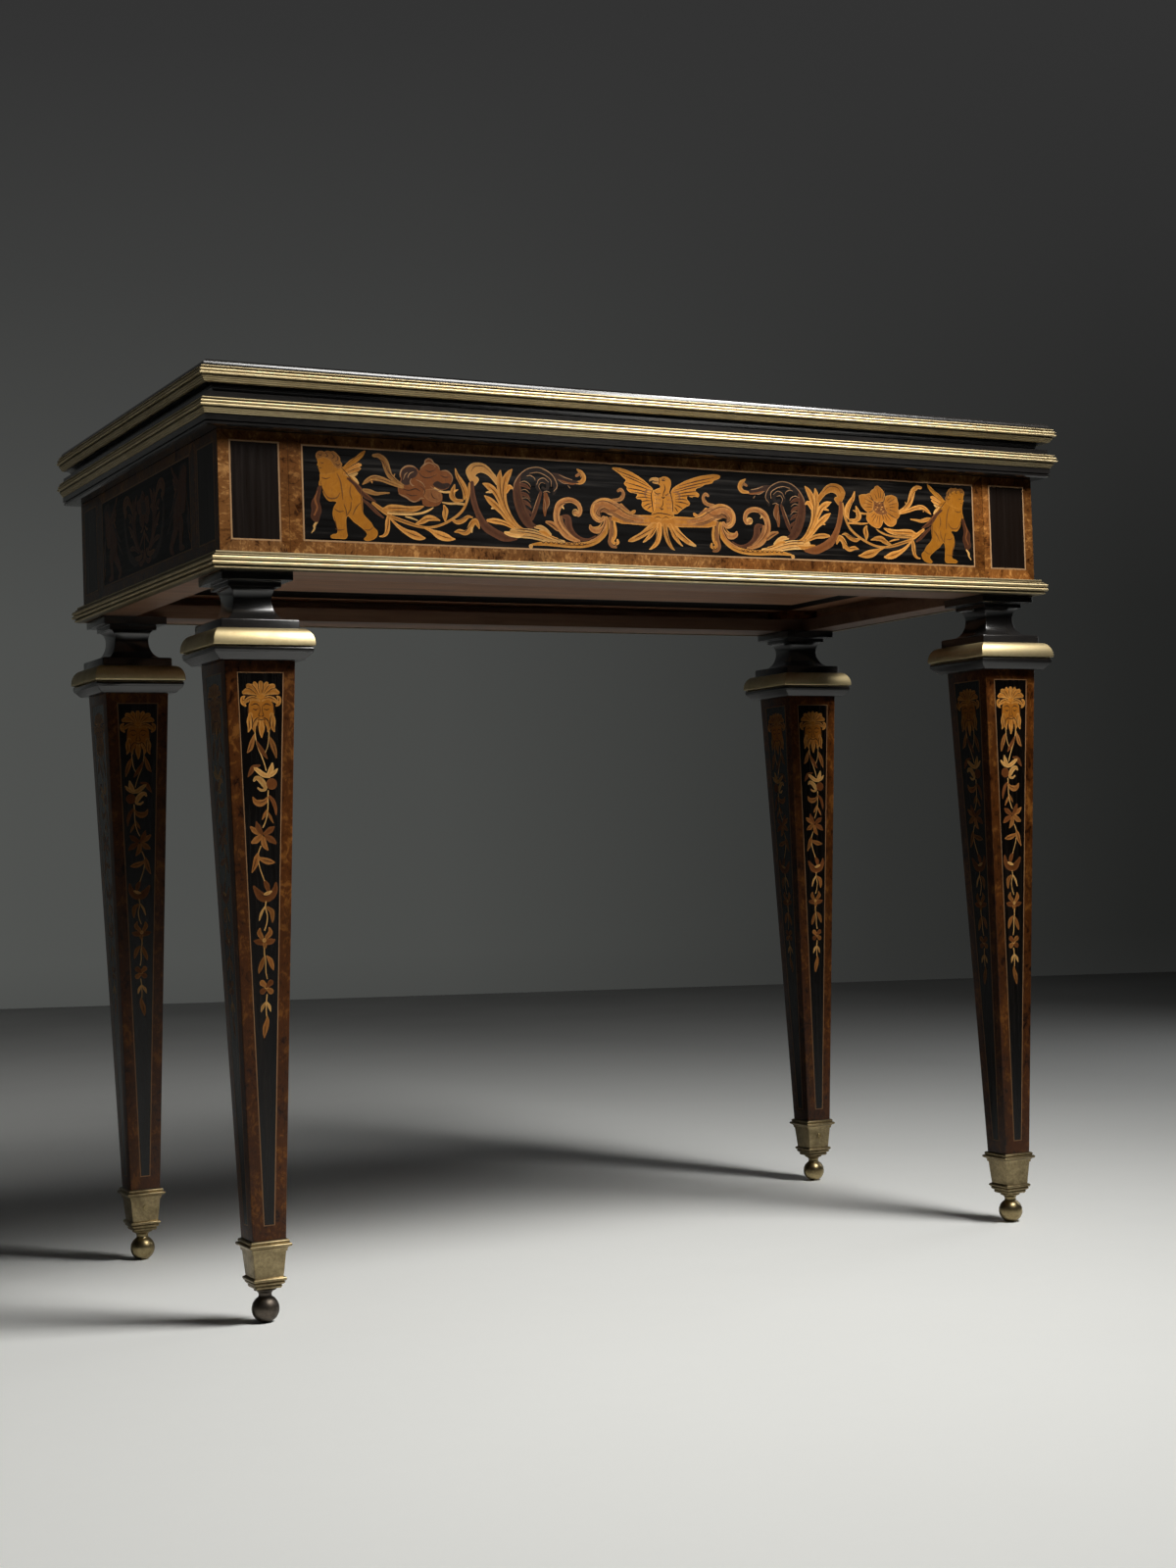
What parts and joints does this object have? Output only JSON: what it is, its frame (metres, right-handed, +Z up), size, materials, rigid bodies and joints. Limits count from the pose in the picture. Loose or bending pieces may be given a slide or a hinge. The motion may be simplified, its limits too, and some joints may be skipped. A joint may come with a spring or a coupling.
{
  "type": "games table",
  "caption": "Rectangular games table with a folding two-leaf top that swivels on a pivot, a marquetry frieze and square tapered legs on brass ball feet.",
  "frame": {"origin": "on the floor, under the middle of the closed table", "axes": "+Z up, +X along the long side, -Y towards the front; the hinge edge of the top is at +Y"},
  "size_m": [0.8644, 0.4454, 0.775],
  "materials": {
    "ebonised_wood": "ebonised fruitwood, French polished",
    "walnut_veneer": "burr walnut veneer, polished",
    "rosewood_veneer": "red-brown veneer with inlay, polished",
    "marquetry": "ebony ground with satinwood and rosewood marquetry, polished",
    "carcass_wood": "stained secondary wood, waxed and scuffed",
    "gilt_brass": "pale gilt brass, polished and aged",
    "aged_brass": "dull aged brass",
    "iron": "dark iron",
    "baize": "green baize",
    "lining": "dark red lining cloth"
  },
  "bodies": {
    "carcass": {"front_left_ball_foot": "aged_brass", "front_right_ball_foot": "aged_brass", "back_right_ball_foot": "aged_brass", "back_left_ball_foot": "aged_brass", "front_left_sabot": "aged_brass", "front_right_sabot": "aged_brass", "back_right_sabot": "aged_brass", "back_left_sabot": "aged_brass", "front_left_sabot_screw": "aged_brass", "front_right_sabot_screw": "aged_brass", "back_right_sabot_screw": "aged_brass", "back_left_sabot_screw": "aged_brass", "front_left_leg_shaft": "rosewood_veneer", "front_right_leg_shaft": "rosewood_veneer", "back_right_leg_shaft": "rosewood_veneer", "back_left_leg_shaft": "rosewood_veneer", "front_left_capital": "ebonised_wood", "front_right_capital": "ebonised_wood", "back_right_capital": "ebonised_wood", "back_left_capital": "ebonised_wood", "front_left_brass_collar": "gilt_brass", "front_right_brass_collar": "gilt_brass", "back_right_brass_collar": "gilt_brass", "back_left_brass_collar": "gilt_brass", "base_frame": "carcass_wood", "base_bead": "gilt_brass", "front_left_corner_post": "walnut_veneer", "front_right_corner_post": "walnut_veneer", "back_right_corner_post": "walnut_veneer", "back_left_corner_post": "walnut_veneer", "rail_front": "carcass_wood", "rail_right": "carcass_wood", "rail_back": "carcass_wood", "rail_left": "carcass_wood", "marquetry_front": "marquetry", "marquetry_right": "marquetry", "marquetry_back": "marquetry", "marquetry_left": "marquetry", "cap_frame": "ebonised_wood", "bottom_board": "carcass_wood", "well_lining": "lining", "divider": "carcass_wood", "pivot_board": "carcass_wood"},
    "lower_top": {"lower_leaf": "ebonised_wood", "lower_baize": "baize", "lower_leaf_brass": "gilt_brass", "hinge_plate_lower_left": "aged_brass", "hinge_plate_lower_right": "aged_brass", "hinge_pin_left": "iron", "hinge_pin_right": "iron", "swivel_bolt": "iron", "swivel_washer": "iron", "swivel_nut": "iron", "stop_peg": "carcass_wood"},
    "upper_top": {"upper_leaf": "ebonised_wood", "upper_baize": "baize", "upper_leaf_brass": "gilt_brass", "hinge_plate_upper_left": "aged_brass", "hinge_plate_upper_right": "aged_brass"}
  },
  "joints": [
    {"name": "top_swivel", "type": "hinge", "parent": "carcass", "child": "lower_top", "pos_m": [0.11013, 0.11013, 0.7254], "axis": [0, 0, 1], "range_deg": [0, 90]},
    {"name": "leaf_fold", "type": "hinge", "parent": "lower_top", "child": "upper_top", "pos_m": [0, 0.22025, 0.7502], "axis": [-1, 0, 0], "range_deg": [0, 180]}
  ]
}
